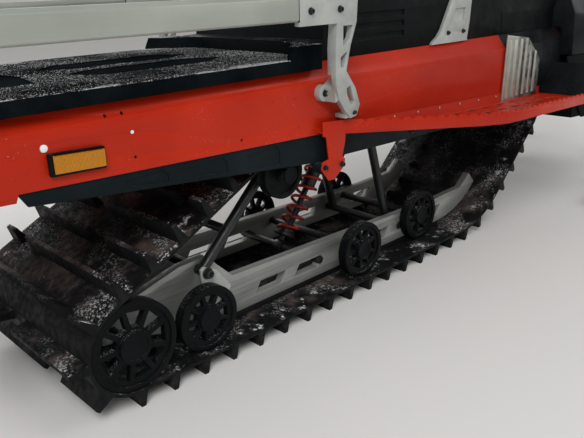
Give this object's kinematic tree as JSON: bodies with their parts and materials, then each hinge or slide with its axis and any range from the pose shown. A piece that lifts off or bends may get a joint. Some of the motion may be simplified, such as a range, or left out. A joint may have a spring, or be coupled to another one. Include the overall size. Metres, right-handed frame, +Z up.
{
  "type": "snowmobile",
  "caption": "Two-up utility snowmobile on a wide rubber track, with steered skis, a rack over a cargo deck, a back rest and a screen.",
  "frame": {"origin": "on the floor, under the middle of the whole machine", "axes": "+X towards the ski tips, +Y to the rider's left, +Z up"},
  "size_m": [3.294, 1.136, 1.36],
  "materials": {
    "red_paint": "gloss powder coat",
    "black_plastic": "moulded, fine grain",
    "guard_plastic": "moulded, fine grain",
    "track_rubber": "moulded rubber",
    "flap_rubber": "moulded rubber",
    "rack_aluminium": "brushed and anodised",
    "cast_alloy": "cast, painted grey",
    "black_steel": "satin powder coat",
    "bright_steel": "machined",
    "rail_alloy": "extruded",
    "seat_vinyl": "grained vinyl",
    "amber_lens": "prismatic lens",
    "red_lens": "lamp lens",
    "clear_screen": "clear sheet",
    "lamp_lens": "lamp lens",
    "ski_plastic": "moulded",
    "engine_alloy": "cast",
    "grip_rubber": "soft rubber",
    "wear_plastic": "slippery plastic"
  },
  "bodies": {
    "chassis": {"tunnel": "red_paint", "tunnel_guards": "guard_plastic", "running_boards": "red_paint", "cargo_deck": "black_plastic", "rack_rails": "rack_aluminium", "cast_brackets": "cast_alloy", "seat_base": "black_plastic", "driver_seat": "seat_vinyl", "passenger_seat": "seat_vinyl", "backrest": "seat_vinyl", "backrest_frame": "black_steel", "console": "black_plastic", "hood": "red_paint", "headlamps": "lamp_lens", "engine_block": "engine_alloy", "side_panels": "black_plastic", "belly_pan": "black_plastic", "footwell_plates": "rack_aluminium", "windshield": "clear_screen", "instrument_pod": "black_plastic", "bulkhead": "black_steel", "front_arms": "black_steel", "shock_absorbers": "black_steel", "post_bracket": "black_steel", "front_bumper": "black_steel", "rear_bumper": "black_steel", "tail_lamp": "red_lens", "snow_flap": "flap_rubber", "track": "track_rubber", "track_axles": "bright_steel", "slide_rails": "rail_alloy", "wear_strips": "wear_plastic", "rear_wheels": "black_plastic", "bogie_wheels": "black_plastic", "skid_arms": "black_steel", "reflectors": "amber_lens"},
    "handlebar": {"handlebar": "black_steel", "bar_grips": "grip_rubber"},
    "steering_crank": {"steering_crank": "black_steel"},
    "left_tie_rod": {"left_tie_rod": "bright_steel"},
    "right_tie_rod": {"right_tie_rod": "bright_steel"},
    "left_ski": {"left_spindle": "black_steel", "left_ski": "ski_plastic"},
    "right_ski": {"right_spindle": "black_steel", "right_ski": "ski_plastic"}
  },
  "joints": [
    {"name": "bar_steer", "type": "hinge", "parent": "chassis", "child": "handlebar", "pos_m": [0.483, 0, 1.01], "axis": [-0.5299, 0, 0.848], "range_deg": [-35, 35]},
    {"name": "crank_turn", "type": "hinge", "parent": "chassis", "child": "steering_crank", "pos_m": [1.05409, 0, 0.33009], "axis": [-0.309, 0, 0.9511], "range_deg": [-28, 28]},
    {"name": "left_ski_steer", "type": "hinge", "parent": "chassis", "child": "left_ski", "pos_m": [1.05409, 0.48, 0.33009], "axis": [-0.309, 0, 0.9511], "range_deg": [-28, 28]},
    {"name": "left_rod_swing", "type": "hinge", "parent": "steering_crank", "child": "left_tie_rod", "pos_m": [0.96849, 0.018, 0.30227], "axis": [-0.309, 0, 0.9511], "range_deg": [-28, 28]},
    {"name": "right_ski_steer", "type": "hinge", "parent": "chassis", "child": "right_ski", "pos_m": [1.05409, -0.48, 0.33009], "axis": [-0.309, 0, 0.9511], "range_deg": [-28, 28]},
    {"name": "right_rod_swing", "type": "hinge", "parent": "steering_crank", "child": "right_tie_rod", "pos_m": [0.96849, -0.018, 0.30227], "axis": [-0.309, 0, 0.9511], "range_deg": [-28, 28]}
  ],
  "couplings": [
    {"joint": "crank_turn", "follows": "bar_steer", "ratio": 0.8},
    {"joint": "left_ski_steer", "follows": "bar_steer", "ratio": 0.8},
    {"joint": "left_rod_swing", "follows": "bar_steer", "ratio": -0.8},
    {"joint": "right_ski_steer", "follows": "bar_steer", "ratio": 0.8},
    {"joint": "right_rod_swing", "follows": "bar_steer", "ratio": -0.8}
  ]
}
